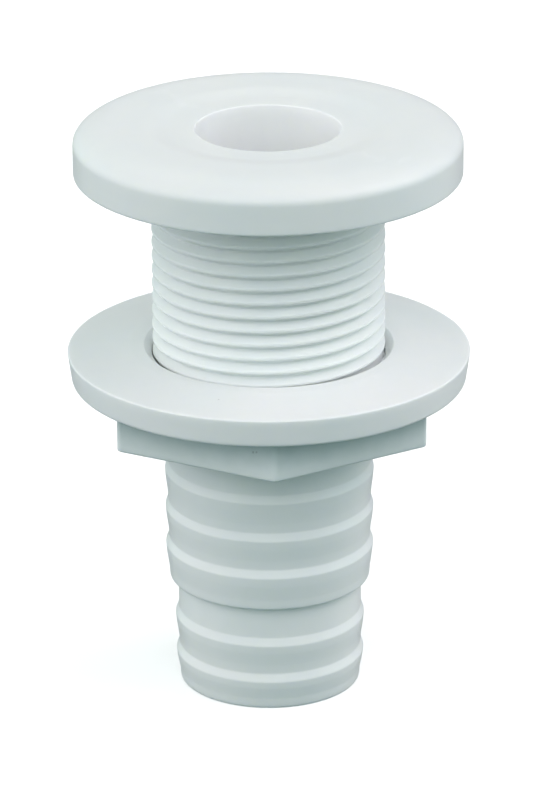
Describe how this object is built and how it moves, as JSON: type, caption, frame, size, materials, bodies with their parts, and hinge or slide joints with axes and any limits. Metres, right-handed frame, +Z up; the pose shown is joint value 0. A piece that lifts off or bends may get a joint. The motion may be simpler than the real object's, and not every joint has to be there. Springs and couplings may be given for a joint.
{
  "type": "thru hull fitting",
  "caption": "Flanged plastic through-hull pipe fitting with a threaded shank, backing washer, hex clamping nut and a stepped barbed hose tail.",
  "frame": {"origin": "centre of the hose tail's end face, on the axis of the bore", "axes": "+Z up the axis from the hose tail to the flange; -Y faces the corner of the nut nearest the front"},
  "size_m": [0.0594, 0.0594, 0.0869],
  "materials": {
    "body_plastic": "satin moulded white",
    "washer_plastic": "satin moulded white",
    "nut_plastic": "satin moulded white"
  },
  "bodies": {
    "fitting": {"fitting_body": "body_plastic"},
    "washer": {"backing_washer": "washer_plastic"},
    "nut": {"hex_nut": "nut_plastic"}
  },
  "joints": [
    {"name": "washer_travel", "type": "slide", "parent": "fitting", "child": "washer", "axis": [0, 0, 1], "range_m": [-0.00847, 0.02646]},
    {"name": "nut_turn", "type": "hinge", "parent": "washer", "child": "nut", "pos_m": [0, 0, 0.0446], "axis": [0, 0, 1], "range_deg": [-1440, 4500]}
  ],
  "couplings": [
    {"joint": "washer_travel", "follows": "nut_turn", "m_per_rad": 0.00033688}
  ]
}
